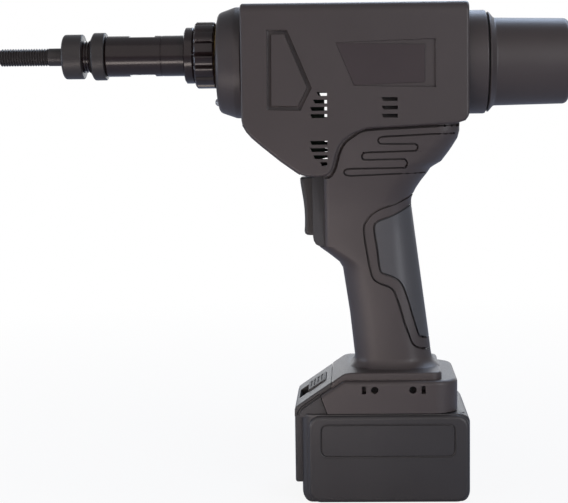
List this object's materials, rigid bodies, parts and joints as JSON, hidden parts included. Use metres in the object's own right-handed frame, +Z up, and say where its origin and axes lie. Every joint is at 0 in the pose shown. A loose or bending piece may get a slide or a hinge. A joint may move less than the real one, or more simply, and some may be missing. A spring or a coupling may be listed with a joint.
{
  "type": "battery rivet nut tool",
  "caption": "Pistol-grip battery tool that screws a threaded mandrel into a blind rivet nut and draws it back to set the nut, with a slide-on pack as its foot.",
  "frame": {"origin": "middle of the battery pack's underside, on which the tool stands", "axes": "the nose points to -X, +Z is up, Y runs across the tool's width"},
  "size_m": [0.3216, 0.074, 0.2768],
  "materials": {
    "shell_plastic": "fine moulded texture, dark warm grey",
    "palm_rubber": "soft overmoulded rubber, dark cool grey",
    "pack_plastic": "fine moulded texture, dark cool grey",
    "plate_plastic": "smooth satin insert",
    "boss_plastic": "semi-gloss black",
    "black_steel": "matte black oxide",
    "gloss_black": "glossy black finish",
    "bare_steel": "ground steel",
    "aluminium": "die cast",
    "brass": "turned brass",
    "trigger_plastic": "satin black",
    "bezel_plastic": "satin mid grey",
    "clear_lens": "clear moulded dome",
    "circuit_board": "green solder mask",
    "copper_windings": "laminations and enamelled wire",
    "cell_wrap": "shrink sleeve",
    "seal_rubber": "matte rubber"
  },
  "bodies": {
    "housing": {"left_shell": "shell_plastic", "right_shell": "shell_plastic", "left_palm_pad": "palm_rubber", "right_palm_pad": "palm_rubber", "chin_plate": "trigger_plastic", "left_side_plate": "plate_plastic", "right_side_plate": "plate_plastic", "front_boss": "boss_plastic", "lamp_lens": "clear_lens", "lamp_board": "circuit_board", "trim_ring": "brass", "lock_ring": "gloss_black", "nose_barrel": "gloss_black", "guide_key": "bare_steel", "gear_housing": "aluminium", "thrust_front_race": "bare_steel", "thrust_balls": "bare_steel", "nut_bearing": "bare_steel", "gearbox_plate": "aluminium", "carrier_bearing": "brass", "ring_gear": "bare_steel", "motor_front_plate": "aluminium", "motor_front_bearing": "bare_steel", "motor_can": "bare_steel", "motor_stator": "copper_windings", "motor_rear_bearing": "bare_steel", "motor_rear_plate": "aluminium", "rear_collar": "shell_plastic", "rear_seal": "seal_rubber", "rear_cap": "shell_plastic", "trigger_bezel": "bezel_plastic", "trigger_spring": "bare_steel", "switch_body": "trigger_plastic", "control_board": "circuit_board", "terminal_block": "trigger_plastic", "shell_screws": "black_steel", "foot_screws": "black_steel"},
    "stroke_collar": {"stroke_collar": "gloss_black"},
    "jam_nut": {"jam_nut": "black_steel"},
    "anvil": {"anvil": "black_steel"},
    "spindle": {"draw_spindle": "bare_steel"},
    "mandrel": {"mandrel": "black_steel"},
    "nut": {"drive_nut": "bare_steel", "thrust_rear_race": "bare_steel"},
    "carrier": {"planet_carrier": "bare_steel"},
    "planet_1": {"planet_gear_1": "bare_steel"},
    "planet_2": {"planet_gear_2": "bare_steel"},
    "planet_3": {"planet_gear_3": "bare_steel"},
    "rotor": {"rotor_shaft": "bare_steel", "rotor_core": "bare_steel", "cooling_fan": "trigger_plastic"},
    "trigger": {"trigger": "trigger_plastic"},
    "battery": {"battery_case": "pack_plastic", "battery_cover": "pack_plastic", "battery_cells": "cell_wrap", "battery_board": "circuit_board", "battery_contacts": "brass", "battery_screws": "black_steel", "release_spring": "bare_steel"},
    "release": {"release_button": "pack_plastic"}
  },
  "joints": [
    {"name": "spindle_draw", "type": "slide", "parent": "housing", "child": "spindle", "axis": [1, 0, 0], "range_m": [0, 0.007]},
    {"name": "rotor_spin", "type": "hinge", "parent": "housing", "child": "rotor", "pos_m": [0, 0, 0.2445], "axis": [-1, 0, 0], "range_deg": [0, 5012.28]},
    {"name": "carrier_spin", "type": "hinge", "parent": "housing", "child": "carrier", "pos_m": [0, 0, 0.2445], "axis": [-1, 0, 0], "range_deg": [0, 1113.84]},
    {"name": "nut_turn", "type": "hinge", "parent": "housing", "child": "nut", "pos_m": [0, 0, 0.25], "axis": [-1, 0, 0], "range_deg": [0, 642.6]},
    {"name": "mandrel_spin", "type": "hinge", "parent": "spindle", "child": "mandrel", "pos_m": [0, 0, 0.25], "axis": [-1, 0, 0], "continuous": true},
    {"name": "collar_turn", "type": "hinge", "parent": "housing", "child": "stroke_collar", "pos_m": [0, 0, 0.25], "axis": [-1, 0, 0], "range_deg": [0, 330]},
    {"name": "jam_nut_turn", "type": "hinge", "parent": "housing", "child": "jam_nut", "pos_m": [0, 0, 0.25], "axis": [-1, 0, 0], "range_deg": [0, 90]},
    {"name": "anvil_turn", "type": "hinge", "parent": "housing", "child": "anvil", "pos_m": [0, 0, 0.25], "axis": [-1, 0, 0], "range_deg": [0, 90]},
    {"name": "trigger_pull", "type": "slide", "parent": "housing", "child": "trigger", "axis": [1, 0, 0], "range_m": [0, 0.006], "stiffness_N_per_m": 600, "springref_m": -0.004, "deforming": ["trigger_spring"]},
    {"name": "pack_slide", "type": "slide", "parent": "housing", "child": "battery", "axis": [-1, 0, 0], "range_m": [0, 0.095]},
    {"name": "release_press", "type": "slide", "parent": "battery", "child": "release", "axis": [0.5446, 0, -0.8387], "range_m": [0, 0.0024], "stiffness_N_per_m": 900, "springref_m": -0.003, "deforming": ["release_spring"]},
    {"name": "planet_1_spin", "type": "hinge", "parent": "carrier", "child": "planet_1", "pos_m": [0, 0, 0.25395], "axis": [-1, 0, 0], "range_deg": [-3118.75, 0]},
    {"name": "planet_2_spin", "type": "hinge", "parent": "carrier", "child": "planet_2", "pos_m": [0, -0.00818, 0.23977], "axis": [-1, 0, 0], "range_deg": [-3118.75, 0]},
    {"name": "planet_3_spin", "type": "hinge", "parent": "carrier", "child": "planet_3", "pos_m": [0, 0.00818, 0.23977], "axis": [-1, 0, 0], "range_deg": [-3118.75, 0]}
  ],
  "couplings": [
    {"joint": "rotor_spin", "follows": "spindle_draw", "rad_per_m": 12252},
    {"joint": "carrier_spin", "follows": "spindle_draw", "rad_per_m": 2722.7},
    {"joint": "nut_turn", "follows": "spindle_draw", "rad_per_m": 1570.8},
    {"joint": "planet_1_spin", "follows": "spindle_draw", "rad_per_m": -7623.6},
    {"joint": "planet_2_spin", "follows": "spindle_draw", "rad_per_m": -7623.6},
    {"joint": "planet_3_spin", "follows": "spindle_draw", "rad_per_m": -7623.6}
  ]
}
